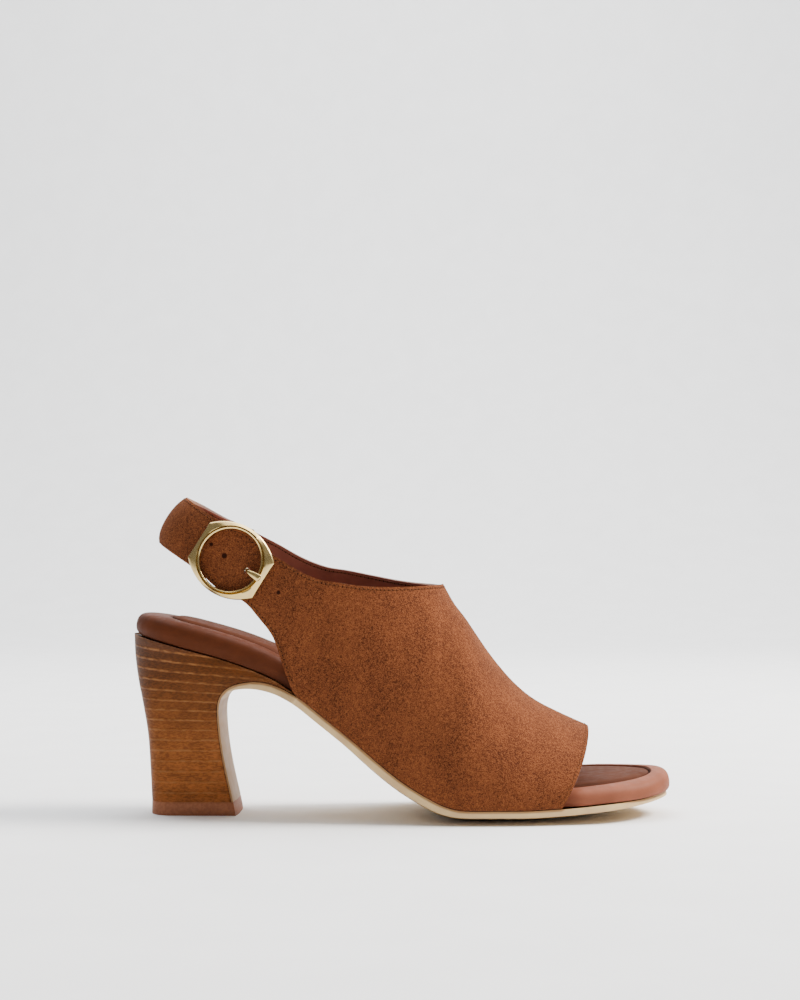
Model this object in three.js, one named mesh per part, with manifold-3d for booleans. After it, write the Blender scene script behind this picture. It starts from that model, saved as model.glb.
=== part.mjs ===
// Right shoe of a suede slingback sandal with an open toe and a block heel, EU 38.
// Millimetres, toe to +X, up is +Z, outer side to -Y. Lengths along the shoe start at the heel's back.
import * as THREE from "three";
import { mergeVertices } from "three/addons/utils/BufferGeometryUtils.js";
import loadManifold from "manifold-3d";

// Driving sizes
const LENGTH = 225;
const BALL_WIDTH = 82;
const HEEL_HEIGHT = 75;
const INSTEP = 88;
const WALL = 2;
const CLEAR = 0.3;

// Sole sizes
const OUTSOLE = 2.6;
const SHANK_EDGE = 3.2;
const CAMBER = 3.2;
const TOE_SPRING = 4.6;
const HEEL_ROUND = 27;
const TOE_ROUND = 33;
const TOE_SQUARENESS = 2.25;
const TREAD_SHARE = 0.42;
const FLANK_SHARE = 0.75;
const SHANK_BLEND = 36;
const TOE_BLEND = 55;
const TOE_CAMBER = 0.2;
const TOE_TUCK = 2;
const TOE_TUCK_REACH = 35;
const TOE_EDGE = 1.9;

// Footbed and sock sizes
const RIM_HEIGHT = 10.4;
const TOE_RIM = 9.1;
const TOE_RIM_FROM = 0.58;
const TOE_RIM_TO = 0.78;
const TOE_CANT = 2.5;
const CANT_FROM = 0.68;
const CANT_TO = 0.25;
const SEAT_RIM = 5.5;
const SEAT_RIM_REACH = 30;
const CREASE_DEPTH = 1.8;
const SOCK_RISE = 1.2;
const SOCK_INSET = 9.6;
const SOCK_TOE_REACH = 1.4;
const SOCK_TOE_FROM = 22;
const SOCK_BEVEL = 3;
const SOCK_DIP = 0.2;
const SOCK_CANT = 0.4;
const RIM_INSET = 0.8;
const RIM_BLEND = 8;

// Heel sizes
const TOP_PIECE = 5.5;
const TOP_PIECE_SLOPE = 0.2;
const HEEL_BASE_LENGTH = 34.1;
const HEEL_BASE_WIDTH = 26;
const HEEL_BASE_BACK = 8.1;
const HEEL_CORNER = 11;
const HEEL_CORNER_SQUARENESS = 2.6;
const HEEL_PROUD = 0.4;
const BREAST_COVER = 0.7;
const BREAST_BULGE = 0.5;
const HEEL_FLARE = 3;

// Upper sizes
const UPPER_INSET = 0.2;
const STAND_SHARE = 0.45;
const CROWN_SHARE = 0.5;
const CROWN_DROP = 0.03;

// Buckle sizes
const BUCKLE_LENGTH = 32;
const BUCKLE_WIDTH = 30.2;
const BUCKLE_END = 16.4;
const BUCKLE_HOLE = 25.2;
const BUCKLE_THICKNESS = 3;
const BAR_DIAMETER = 1.6;
const BEAD_WIDTH = 1.3;
const PRONG_DIAMETER = 1.7;
const PRONG_TIP_WIDTH = 3;
const STRAP_HOLE = 3;
const PRONG_HOLE_REACH = 7.7;
const PRONG_FLARE_RINGS = 5;

// Rows along the sole: fall is the share of the heel's drop that is left, spring the share of
// the toe spring, lateral and medial the outline's shares of half the ball width.
const SOLE_ROWS = [
  { along: 0.0, fall: 1.0, spring: 0, lateral: 0.69, medial: 0.69 },
  { along: 0.1, fall: 0.922, spring: 0, lateral: 0.7, medial: 0.7 },
  { along: 0.2, fall: 0.831, spring: 0, lateral: 0.71, medial: 0.69 },
  { along: 0.27, fall: 0.739, spring: 0, lateral: 0.725, medial: 0.675 },
  { along: 0.31, fall: 0.653, spring: 0, lateral: 0.74, medial: 0.67 },
  { along: 0.36, fall: 0.527, spring: 0, lateral: 0.775, medial: 0.67 },
  { along: 0.41, fall: 0.401, spring: 0, lateral: 0.82, medial: 0.69 },
  { along: 0.5, fall: 0.167, spring: 0, lateral: 0.905, medial: 0.765 },
  { along: 0.54, fall: 0.087, spring: 0, lateral: 0.945, medial: 0.815 },
  { along: 0.58, fall: 0.025, spring: 0, lateral: 0.98, medial: 0.87 },
  { along: 0.615, fall: 0.0, spring: 0, lateral: 0.995, medial: 0.92 },
  { along: 0.71, fall: 0.0, spring: 0, lateral: 0.98, medial: 1.0 },
  { along: 0.79, fall: 0.0, spring: 0.13, lateral: 0.91, medial: 0.985 },
  { along: 0.87, fall: 0.0, spring: 0.4, lateral: 0.81, medial: 0.92 },
  { along: 0.94, fall: 0.0, spring: 0.63, lateral: 0.7, medial: 0.82 },
  { along: 1.0, fall: 0.0, spring: 1.0, lateral: 0.6, medial: 0.72 },
];

// Rim of the footbed from its lower edge to the crease: across is the share of the way to the
// crease, rise the share of the rim's height.
const RIM_ROWS = [
  { across: 0.13, rise: 0 },
  { across: 0.02, rise: 0.12 },
  { across: 0, rise: 0.38 },
  { across: 0.06, rise: 0.66 },
  { across: 0.22, rise: 0.87 },
  { across: 0.55, rise: 0.98 },
  { across: 1, rise: 1 },
];

// Side of the sock: inset is the share of its bevel, rise the share of its height.
const SOCK_ROWS = [
  { inset: 0, rise: 0 },
  { inset: 0, rise: 0.45 },
  { inset: 0.3, rise: 0.75 },
  { inset: 1, rise: 0.96 },
];

// Back of the heel: reach is the share of its overhang behind the base.
const HEEL_BACK_ROWS = [
  { rise: 0.0, reach: 0.0 },
  { rise: 0.2, reach: 0.1 },
  { rise: 0.38, reach: 0.22 },
  { rise: 0.56, reach: 0.48 },
  { rise: 0.75, reach: 0.8 },
  { rise: 0.9, reach: 0.96 },
  { rise: 1.0, reach: 1.0 },
];

// Path of the outsole's upper face down the breast, from behind the heel's lip to above the
// top piece: along is the share of the length, rise the share of the heel height.
const LIP_ALONG = 0.308;
const LIP_BLEND = 5;
const BREAST_ROWS = [
  { along: 0.272, rise: 0.727 },
  { along: 0.236, rise: 0.744 },
  { along: 0.2, rise: 0.728 },
  { along: 0.176, rise: 0.694 },
  { along: 0.1635, rise: 0.635 },
  { along: 0.161, rise: 0.56 },
  { along: 0.1645, rise: 0.42 },
  { along: 0.1735, rise: 0.26 },
];

// Ribs of the upper from the strap's back to the toe opening: the lower edge and the upper one,
// in shares of the length, of half the ball width and of the instep above the sole. A rib with
// no lowRise stands on the outsole.
const RIB_EDGES = [
  { lowAlong: 0.048, lowAcross: 0, lowRise: 0.457, topAlong: 0.0955, topAcross: 0, topRise: 0.71 },
  { lowAlong: 0.053, lowAcross: 0.195, lowRise: 0.452, topAlong: 0.101, topAcross: 0.195, topRise: 0.704 },
  { lowAlong: 0.071, lowAcross: 0.39, lowRise: 0.437, topAlong: 0.119, topAcross: 0.385, topRise: 0.687 },
  { lowAlong: 0.105, lowAcross: 0.56, lowRise: 0.406, topAlong: 0.153, topAcross: 0.545, topRise: 0.652 },
  { lowAlong: 0.136, lowAcross: 0.635, lowRise: 0.374, topAlong: 0.185, topAcross: 0.615, topRise: 0.627 },
  { lowAlong: 0.171, lowAcross: 0.672, lowRise: 0.323, topAlong: 0.219, topAcross: 0.648, topRise: 0.624 },
  { lowAlong: 0.217, lowAcross: 0.69, lowRise: 0.304, topAlong: 0.26, topAcross: 0.668, topRise: 0.58 },
  { lowAlong: 0.245, lowAcross: 0.7, lowRise: 0.256, topAlong: 0.293, topAcross: 0.68, topRise: 0.576 },
  { lowAlong: 0.272, lowAcross: 0.705, lowRise: 0.195, topAlong: 0.324, topAcross: 0.69, topRise: 0.587 },
  { lowAlong: 0.291, lowAcross: 0.71, lowRise: 0.085, topAlong: 0.356, topAcross: 0.695, topRise: 0.62 },
  { lowAlong: 0.31, topAlong: 0.387, topAcross: 0.69, topRise: 0.668 },
  { lowAlong: 0.355, topAlong: 0.422, topAcross: 0.67, topRise: 0.725 },
  { lowAlong: 0.405, topAlong: 0.458, topAcross: 0.63, topRise: 0.795 },
  { lowAlong: 0.455, topAlong: 0.493, topAcross: 0.56, topRise: 0.864 },
  { lowAlong: 0.5, topAlong: 0.527, topAcross: 0.455, topRise: 0.923 },
  { lowAlong: 0.54, topAlong: 0.555, topAcross: 0.3, topRise: 0.967 },
  { lowAlong: 0.562, topAlong: 0.57, topAcross: 0.155, topRise: 0.987 },
  { lowAlong: 0.58, topAlong: 0.578, topAcross: 0, topRise: 1.0 },
  { lowAlong: 0.605, topAlong: 0.599, topAcross: 0, topRise: 0.921 },
  { lowAlong: 0.63, topAlong: 0.621, topAcross: 0, topRise: 0.852 },
  { lowAlong: 0.66, topAlong: 0.664, topAcross: 0, topRise: 0.69 },
  { lowAlong: 0.69, topAlong: 0.707, topAcross: 0, topRise: 0.558 },
  { lowAlong: 0.72, topAlong: 0.748, topAcross: 0, topRise: 0.468 },
  { lowAlong: 0.753, topAlong: 0.796, topAcross: 0, topRise: 0.398 },
  { lowAlong: 0.787, topAlong: 0.849, topAcross: 0, topRise: 0.327 },
];

// Shape of the same ribs: bias shifts both edges to the inner side, lift raises the inner
// topline and hem the inner lower edge, swell rounds the rib outwards, crown turns its top
// level, lean bows it to the toe and turn is the share of the rib from each end where it has
// turned upright.
const RIB_SHAPES = [
  { bias: 0, lift: 0, hem: 0, swell: 0.13, crown: 0, lean: 0, turn: 0.14 },
  { bias: 0, lift: 0, hem: 0, swell: 0.125, crown: 0, lean: 0, turn: 0.14 },
  { bias: 0, lift: 0.004, hem: 0, swell: 0.095, crown: 0, lean: 0, turn: 0.17 },
  { bias: 0, lift: 0.011, hem: 0, swell: 0.045, crown: 0, lean: 0, turn: 0.24 },
  { bias: 0, lift: 0.02, hem: 0, swell: 0.01, crown: 0, lean: 0, turn: 0.3 },
  { bias: -0.01, lift: 0.007, hem: 0.013, swell: 0, crown: 0, lean: 0, turn: 0.33 },
  { bias: -0.015, lift: 0.04, hem: -0.005, swell: 0.01, crown: 0, lean: 0, turn: 0.33 },
  { bias: -0.02, lift: 0.045, hem: 0, swell: 0.03, crown: 0, lean: 0, turn: 0.33 },
  { bias: -0.025, lift: 0.055, hem: 0, swell: 0.05, crown: 0, lean: 0, turn: 0.33 },
  { bias: -0.025, lift: 0.06, hem: 0, swell: 0.06, crown: 0, lean: 0, turn: 0.33 },
  { bias: -0.025, lift: 0.061, hem: 0, swell: 0.07, crown: 0, lean: 0, turn: 0.33 },
  { bias: -0.02, lift: 0.057, hem: 0, swell: 0.08, crown: 0.05, lean: 0, turn: 0.33 },
  { bias: -0.01, lift: 0.045, hem: 0, swell: 0.09, crown: 0.12, lean: 0, turn: 0.33 },
  { bias: 0, lift: 0.03, hem: 0, swell: 0.09, crown: 0.25, lean: 0, turn: 0.33 },
  { bias: 0.012, lift: 0.017, hem: 0, swell: 0.085, crown: 0.4, lean: 0, turn: 0.33 },
  { bias: 0.024, lift: 0.007, hem: 0, swell: 0.08, crown: 0.6, lean: 0, turn: 0.33 },
  { bias: 0.036, lift: 0.002, hem: 0, swell: 0.075, crown: 0.75, lean: 0, turn: 0.33 },
  { bias: 0.048, lift: 0, hem: 0, swell: 0.07, crown: 0.85, lean: 0, turn: 0.33 },
  { bias: 0.055, lift: 0, hem: 0, swell: 0.065, crown: 0.95, lean: 0, turn: 0.33 },
  { bias: 0.065, lift: 0, hem: 0, swell: 0.06, crown: 1, lean: 0, turn: 0.33 },
  { bias: 0.08, lift: 0, hem: 0, swell: 0.055, crown: 1, lean: 0, turn: 0.33 },
  { bias: 0.1, lift: 0, hem: 0, swell: 0.05, crown: 1, lean: 0.1, turn: 0.33 },
  { bias: 0.118, lift: 0, hem: 0, swell: 0.045, crown: 1, lean: 0.3, turn: 0.33 },
  { bias: 0.135, lift: 0, hem: 0, swell: 0.04, crown: 1, lean: 0.6, turn: 0.33 },
  { bias: 0.15, lift: 0, hem: 0, swell: 0.035, crown: 1, lean: 1, turn: 0.33 },
];
const RIBS = RIB_EDGES.map((edges, i) => ({ ...edges, ...RIB_SHAPES[i] }));

// The quarter's corner is the first rib that stands on the outsole, the throat the first one in
// front whose sides meet, and the buckle sits halfway from the strap's back to the corner.
const QUARTER_CORNER = RIBS.findIndex((rib) => rib.lowRise === undefined);
const THROAT = RIBS.findLastIndex((rib) => rib.topAcross > 0) + 1;
const BUCKLE_RIB = QUARTER_CORNER / 2;

// Section of the buckle's frame: facet is the share of the way from the bead to the outer
// edge, bead the share of the way from there to the hole, rise the share of the thickness.
const FRAME_ROWS = [
  { facet: 0.92, bead: 0, rise: 0 },
  { facet: 1, bead: 0, rise: 0.32 },
  { facet: 0.88, bead: 0, rise: 0.5 },
  { facet: 0.12, bead: 0, rise: 0.86 },
  { facet: 0, bead: 0.08, rise: 0.68 },
  { facet: 0, bead: 0.4, rise: 1 },
  { facet: 0, bead: 0.82, rise: 0.9 },
  { facet: 0, bead: 1, rise: 0.5 },
  { facet: 0, bead: 0.8, rise: 0 },
];

// Mesh fineness
const SOLE_STATIONS = 38;
const HEEL_STATIONS = 16;
const HEEL_LEVELS = 16;
const STEPS_PER_RIB = 2;
const RIB_STEPS = 12;
const BUCKLE_STEPS = 48;
const ROD_SIDES = 8;
const HOLE_SIDES = 12;

const mix = THREE.MathUtils.lerp;
const seatFront = LIP_ALONG * LENGTH;
const HALF_BALL = BALL_WIDTH / 2;
const BALL_TOP = OUTSOLE + CAMBER;

// Shape-keeping curve through the rows of a table, one column at a time
function curve(rows, key, column) {
  const slope = (i) => (rows[i + 1][column] - rows[i][column]) / (rows[i + 1][key] - rows[i][key]);
  const tangent = (i) => {
    if (i === 0) return slope(0);
    if (i === rows.length - 1) return slope(i - 1);
    const before = slope(i - 1);
    const after = slope(i);
    return before * after <= 0 ? 0 : (2 * before * after) / (before + after);
  };
  const tangents = rows.map((row, i) => tangent(i));
  return (at) => {
    const x = THREE.MathUtils.clamp(at, rows[0][key], rows[rows.length - 1][key]);
    let i = 0;
    while (i < rows.length - 2 && x > rows[i + 1][key]) i += 1;
    const span = rows[i + 1][key] - rows[i][key];
    const t = (x - rows[i][key]) / span;
    const keep = (1 + 2 * t) * (1 - t) ** 2 * rows[i][column] + t * t * (3 - 2 * t) * rows[i + 1][column];
    return keep + span * t * (1 - t) * ((1 - t) * tangents[i] - t * tangents[i + 1]);
  };
}

const fall = curve(SOLE_ROWS, "along", "fall");
const spring = curve(SOLE_ROWS, "along", "spring");
const lateral = curve(SOLE_ROWS, "along", "lateral");
const medial = curve(SOLE_ROWS, "along", "medial");

// Height of the outsole's upper face at its edge
function soleTop(x) {
  const along = x / LENGTH;
  return BALL_TOP + fall(along) * (HEEL_HEIGHT - BALL_TOP) + spring(along) * TOE_SPRING;
}

// How far a cambered face lies below its edge; the tread stays level in the middle
function camber(x, share) {
  const inward = Math.min(1, (1 - share * share) / (1 - TREAD_SHARE * TREAD_SHARE));
  const behind = mix(BREAST_BULGE, CAMBER, THREE.MathUtils.smoothstep(x, seatFront, seatFront + SHANK_BLEND));
  const depth = mix(behind, TOE_CAMBER, THREE.MathUtils.smoothstep(x, LENGTH - TOE_BLEND, LENGTH));
  return Math.min(depth * inward, soleTop(x) - OUTSOLE);
}

function roundEnd(distance, radius, squareness) {
  if (distance >= radius) return 1;
  const bend = Math.pow(1 - distance / radius, squareness);
  return Math.pow(1 - bend, 1 / squareness);
}

// Half width of the sole outline on one side: -1 lateral, 1 medial
const END_NOSE = 0.15;
function halfWidth(x, side) {
  const share = side < 0 ? lateral(x / LENGTH) : medial(x / LENGTH);
  const heelEnd = roundEnd(x + END_NOSE, HEEL_ROUND, 2);
  const toeEnd = roundEnd(LENGTH - x + END_NOSE, TOE_ROUND, TOE_SQUARENESS);
  return share * HALF_BALL * heelEnd * toeEnd;
}

// Stations close together where the outline rounds at both ends
function stations(from, to, count) {
  return Array.from({ length: count + 1 }, (_, i) => {
    const even = i / count;
    const eased = 0.5 - 0.5 * Math.cos(Math.PI * even);
    return mix(from, to, mix(even, eased, 0.85));
  });
}

// Closed plan outline: lateral side first, then back along the medial side
function outline(xs, half) {
  const lateralSide = xs.map((x) => new THREE.Vector2(x, -half(x, -1)));
  const medialSide = xs.map((x) => new THREE.Vector2(x, half(x, 1))).reverse();
  return [...lateralSide, ...medialSide];
}

// Moves each outline point inwards by inset(point)
function insetOutline(loop, inset) {
  return loop.map((point, i) => {
    const before = loop[(i + loop.length - 1) % loop.length];
    const after = loop[(i + 1) % loop.length];
    const run = after.clone().sub(before).normalize();
    const distance = typeof inset === "function" ? inset(point) : inset;
    return new THREE.Vector2(point.x - run.y * distance, point.y + run.x * distance);
  });
}

// Pulls an outline towards the line midway between its two sides
function narrowOutline(loop, share) {
  return loop.map((point, i) => {
    const partner = loop[loop.length - 1 - i];
    const middle = (point.y + partner.y) / 2;
    return new THREE.Vector2(point.x, middle + (point.y - middle) * share);
  });
}

function meshFrom(positions, faces) {
  const geometry = new THREE.BufferGeometry();
  geometry.setAttribute("position", new THREE.Float32BufferAttribute(positions, 3));
  geometry.setIndex(faces);
  return geometry;
}

// Solid from a stack of rings; the first and last are closed by rungs between their two sides
function ringSolid(rings) {
  const count = rings[0].length;
  const positions = rings.flat().flatMap((point) => [point.x, point.y, point.z]);
  const faces = [];
  rings.slice(1).forEach((ring, level) => {
    for (let i = 0; i < count; i += 1) {
      const next = (i + 1) % count;
      const a = level * count + i;
      const b = level * count + next;
      faces.push(a, b, b + count, a, b + count, a + count);
    }
  });
  const top = (rings.length - 1) * count;
  for (let i = 0; i < count / 2 - 1; i += 1) {
    const far = count - 1 - i;
    faces.push(i, far, i + 1, i + 1, far, far - 1);
    faces.push(top + i, top + i + 1, top + far, top + i + 1, top + far - 1, top + far);
  }
  return meshFrom(positions, faces);
}

// Solid from closed sections that run round and meet themselves
function hoopSolid(sections) {
  const count = sections[0].length;
  const positions = sections.flat().flatMap((point) => [point.x, point.y, point.z]);
  const faces = [];
  sections.forEach((section, k) => {
    const here = k * count;
    const there = ((k + 1) % sections.length) * count;
    for (let i = 0; i < count; i += 1) {
      const next = (i + 1) % count;
      faces.push(here + i, there + i, there + next, here + i, there + next, here + next);
    }
  });
  return meshFrom(positions, faces);
}

const seatXs = stations(0, LENGTH, SOLE_STATIONS);

// Footbed
const QUARTER_BACK = RIBS[QUARTER_CORNER - 1].lowAlong * LENGTH;
const VAMP_FRONT = RIBS[RIBS.length - 1].lowAlong * LENGTH;
function rimInset(x) {
  const behind = THREE.MathUtils.smoothstep(x, QUARTER_BACK - RIM_BLEND, QUARTER_BACK);
  const ahead = 1 - THREE.MathUtils.smoothstep(x, VAMP_FRONT + 1, VAMP_FRONT + 1 + RIM_BLEND);
  return RIM_INSET + (WALL + 2 * CLEAR) * Math.min(behind, ahead);
}

const soleOutline = outline(seatXs, halfWidth);
const footbedOutline = insetOutline(soleOutline, (point) => rimInset(point.x));

// Line of the crease between rim and sock, moved further in by extra
function sockOutline(extra) {
  return insetOutline(soleOutline, (point) => {
    const nearSeat = Math.max(0, 1 - point.x / SEAT_RIM_REACH);
    const nearToe = THREE.MathUtils.smoothstep(point.x, LENGTH - SOCK_TOE_FROM, LENGTH);
    return SOCK_INSET + SEAT_RIM * nearSeat * nearSeat - SOCK_TOE_REACH * nearToe + extra;
  });
}

// Height of the rim above the sole: at the toe it is lower, most of all on the outer side
function toeShare(x) {
  return THREE.MathUtils.smoothstep(x, TOE_RIM_FROM * LENGTH, TOE_RIM_TO * LENGTH);
}

function toeCant(point) {
  const outer = 1 - THREE.MathUtils.smoothstep(point.y, -CANT_FROM * HALF_BALL, CANT_TO * HALF_BALL);
  return TOE_CANT * toeShare(point.x) * outer;
}

function rimTop(point) {
  return mix(RIM_HEIGHT, TOE_RIM, toeShare(point.x)) - toeCant(point);
}

function sockTop(point) {
  return mix(RIM_HEIGHT + SOCK_RISE, TOE_RIM - SOCK_DIP, toeShare(point.x)) - SOCK_CANT * toeCant(point);
}

function sockFloor(point) {
  return rimTop(point) - CREASE_DEPTH;
}

function footbedRing(loop, height) {
  return loop.map((point) => {
    return new THREE.Vector3(point.x, point.y, soleTop(point.x) + CLEAR + height(point));
  });
}

function cambered(loop, share) {
  return loop.map((point) => {
    return new THREE.Vector3(point.x, point.y, soleTop(point.x) + CLEAR - camber(point.x, share));
  });
}

function footbedSolid() {
  const crease = sockOutline(0);
  const groove = sockOutline(2 * CLEAR);
  const across = (share) => footbedOutline.map((point, i) => point.clone().lerp(crease[i], share));
  const under = across(RIM_ROWS[0].across);
  return ringSolid([
    cambered(narrowOutline(under, TREAD_SHARE), TREAD_SHARE),
    cambered(narrowOutline(under, FLANK_SHARE), FLANK_SHARE),
    ...RIM_ROWS.map((row) => footbedRing(across(row.across), (point) => rimTop(point) * row.rise)),
    footbedRing(groove, sockFloor),
    footbedRing(narrowOutline(groove, TREAD_SHARE), sockFloor),
  ]);
}

// Padded sock inside the rim
function sockSolid() {
  const wall = (inset) => sockOutline(4 * CLEAR + inset * SOCK_BEVEL);
  const base = (point) => sockFloor(point) + CLEAR;
  const height = (rise) => (point) => mix(base(point), sockTop(point), rise);
  return ringSolid([
    footbedRing(narrowOutline(wall(0), TREAD_SHARE), base),
    ...SOCK_ROWS.map((row) => footbedRing(wall(row.inset), height(row.rise))),
    footbedRing(narrowOutline(wall(1), TREAD_SHARE), sockTop),
  ]);
}

// Heel: each side is a patch between its base, its back, the breast and the seat
const heelReach = curve(HEEL_BACK_ROWS, "rise", "reach");
const breastPath = new THREE.CatmullRomCurve3([
  new THREE.Vector3(seatFront, 0, soleTop(seatFront)),
  ...BREAST_ROWS.map((row) => new THREE.Vector3(row.along * LENGTH, 0, row.rise * HEEL_HEIGHT)),
  new THREE.Vector3(HEEL_BASE_BACK + HEEL_BASE_LENGTH, 0, TOP_PIECE),
]);
const HEEL_CORNERS = {
  baseBack: new THREE.Vector3(HEEL_BASE_BACK, 0, TOP_PIECE),
  baseFront: new THREE.Vector3(HEEL_BASE_BACK + HEEL_BASE_LENGTH, 0, TOP_PIECE),
  seatBack: new THREE.Vector3(0, 0, soleTop(0)),
  seatFront: new THREE.Vector3(seatFront, 0, soleTop(seatFront)),
};

function heelHalf(share, level, side) {
  const corner = roundEnd(share * HEEL_BASE_LENGTH + END_NOSE, HEEL_CORNER, HEEL_CORNER_SQUARENESS);
  const seat = halfWidth(share * seatFront, side) - RIM_INSET + HEEL_PROUD;
  return mix((HEEL_BASE_WIDTH / 2) * corner, seat, Math.pow(level, HEEL_FLARE));
}

function heelPoint(share, level) {
  const back = HEEL_CORNERS.baseBack.clone().lerp(HEEL_CORNERS.seatBack, level);
  back.x = HEEL_BASE_BACK * (1 - heelReach(level));
  const breast = breastPath.getPointAt(1 - level);
  const base = HEEL_CORNERS.baseBack.clone().lerp(HEEL_CORNERS.baseFront, share);
  const seat = new THREE.Vector3(share * seatFront, 0, soleTop(share * seatFront));
  const seatLine = HEEL_CORNERS.seatBack.clone().lerp(HEEL_CORNERS.seatFront, share);
  const straight = base.clone().lerp(seatLine, level);
  return back.lerp(breast, share).add(base.lerp(seat, level)).sub(straight);
}

// Direction out of the breast, square to its path
function breastOut(level) {
  const run = breastPath.getTangentAt(1 - level);
  return new THREE.Vector3(-run.z, 0, run.x);
}

const heelLevels = Array.from({ length: HEEL_LEVELS + 1 }, (_, i) => i / HEEL_LEVELS);
const heelShares = stations(0, 1, HEEL_STATIONS).map((share) => Math.pow(share, 1.35));
function heelRing(level, narrow = 1) {
  const row = (side) => {
    const flank = heelShares.map((share) => {
      const spot = heelPoint(share, level);
      spot.y = side * narrow * heelHalf(share, level, side);
      if (level === 1) spot.z -= camber(spot.x, narrow);
      return spot;
    });
    const breast = [FLANK_SHARE, TREAD_SHARE].map((share) => {
      const spot = heelPoint(1, level).addScaledVector(breastOut(level), bulgeAt(share * narrow));
      spot.y = side * narrow * share * heelHalf(1, level, side);
      return spot;
    });
    return [...flank, ...breast];
  };
  return [...row(-1), ...row(1).reverse()];
}

function bulgeAt(share) {
  return BREAST_BULGE * Math.min(1, (1 - share * share) / (1 - TREAD_SHARE * TREAD_SHARE));
}

function heelSolid() {
  return ringSolid([
    ...heelLevels.map((level) => heelRing(level)),
    heelRing(1, FLANK_SHARE),
    heelRing(1, TREAD_SHARE),
  ]);
}

// Top piece: the base's outline, with the breast cover's thickness added at the front, where it
// slopes on as the breast does
function topPieceSolid() {
  const base = heelRing(0);
  const front = HEEL_BASE_BACK + HEEL_BASE_LENGTH;
  const at = (z) => base.map((point) => {
    const share = THREE.MathUtils.smoothstep(point.x, front - HEEL_CORNER, front);
    const slope = TOP_PIECE_SLOPE * (TOP_PIECE - z);
    return new THREE.Vector3(point.x + share * (BREAST_COVER + CLEAR + slope), point.y, z);
  });
  return ringSolid([at(0), at(TOP_PIECE)]);
}

// Outsole: stations run from the foot of the breast up and over the shank to the toe
function outsoleStations() {
  const breast = heelLevels.slice(0, -1).map((level) => {
    const spot = breastPath.getPointAt(1 - level);
    const out = breastOut(level);
    return {
      spot: spot.addScaledVector(out, CLEAR),
      out,
      thickness: mix(BREAST_COVER, SHANK_EDGE, THREE.MathUtils.smoothstep(level, 0.5, 0.85)),
      half: (side) => heelHalf(1, level, side),
      sink: bulgeAt,
      sinkWay: out,
    };
  });
  const sole = stations(seatFront, LENGTH, SOLE_STATIONS).slice(1).map((edge) => {
    const toeEnd = THREE.MathUtils.smoothstep(edge, LENGTH - TOE_TUCK_REACH, LENGTH);
    const tuck = TOE_TUCK * toeEnd;
    const x = edge - tuck;
    const slope = soleTop(x + 0.5) - soleTop(x - 0.5);
    const out = new THREE.Vector3(slope, 0, -1).normalize();
    const junction = 1 - THREE.MathUtils.smoothstep(x, seatFront, seatFront + LIP_BLEND);
    const steep = THREE.MathUtils.smoothstep(-slope, 0.1, 0.5);
    return {
      spot: new THREE.Vector3(x, 0, soleTop(x)).addScaledVector(out, CLEAR * junction),
      out,
      thickness: mix(mix(OUTSOLE, SHANK_EDGE, steep), TOE_EDGE, toeEnd),
      half: (side) => Math.max(halfWidth(edge, side) - tuck, halfWidth(LENGTH, side) / 2),
      sink: (share) => camber(x, share),
      sinkWay: new THREE.Vector3(0, 0, -1),
    };
  });
  return [...breast, ...sole];
}

function outsoleSolid() {
  const line = outsoleStations();
  const ring = (share, depth) => {
    const row = (side) => line.map((station) => {
      const point = station.spot.clone().addScaledVector(station.sinkWay, station.sink(share));
      point.addScaledVector(station.out, station.thickness * depth);
      point.y = side * share * station.half(side);
      point.z = Math.max(point.z, 0);
      return point;
    });
    return [...row(-1), ...row(1).reverse()];
  };
  return ringSolid([
    ring(TREAD_SHARE, 1),
    ring(FLANK_SHARE, 1),
    ring(1, 1),
    ring(1, 0),
    ring(FLANK_SHARE, 0),
    ring(TREAD_SHARE, 0),
  ]);
}

// Smooth run through the ribs, with a corner kept at each break
function alongRibs(values, breaks, at) {
  const last = values.length - 1;
  const i = Math.min(Math.floor(at), last - 1);
  const t = at - i;
  const mirror = (edge, inner) => edge.clone().multiplyScalar(2).sub(inner);
  const [p1, p2] = [values[i], values[i + 1]];
  const p0 = i === 0 || breaks.includes(i) ? mirror(p1, p2) : values[i - 1];
  const p3 = i + 1 === last || breaks.includes(i + 1) ? mirror(p2, p1) : values[i + 2];
  const bend = (axis) => {
    const [a, b, c, d] = [p0[axis], p1[axis], p2[axis], p3[axis]];
    const square = 2 * a - 5 * b + 4 * c - d;
    return 0.5 * (2 * b + (c - a) * t + square * t * t + (3 * b - a - 3 * c + d) * t ** 3);
  };
  return new THREE.Vector3(bend("x"), bend("y"), bend("z"));
}

function ribEnds(side) {
  const low = RIBS.map((rib) => {
    const x = rib.lowAlong * LENGTH;
    if (rib.lowRise === undefined) {
      const edge = side * (halfWidth(x, side) - UPPER_INSET);
      return new THREE.Vector3(x, edge, soleTop(x) + CLEAR);
    }
    const y = (side * rib.lowAcross + rib.bias) * HALF_BALL;
    const hem = side > 0 ? rib.hem : 0;
    return new THREE.Vector3(x, y, soleTop(x) + (rib.lowRise + hem) * INSTEP);
  });
  const top = RIBS.map((rib) => {
    const x = rib.topAlong * LENGTH;
    const y = (side * rib.topAcross + rib.bias) * HALF_BALL;
    const lift = side > 0 ? rib.lift : 0;
    return new THREE.Vector3(x, y, soleTop(x) + (rib.topRise + lift) * INSTEP);
  });
  const shape = RIBS.map((rib) => new THREE.Vector3(rib.swell, rib.crown, rib.lean));
  const turn = RIBS.map((rib) => new THREE.Vector3(rib.turn, 0, 0));
  return { low, top, shape, turn };
}
const RIB_ENDS = { "-1": ribEnds(-1), 1: ribEnds(1) };

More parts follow.
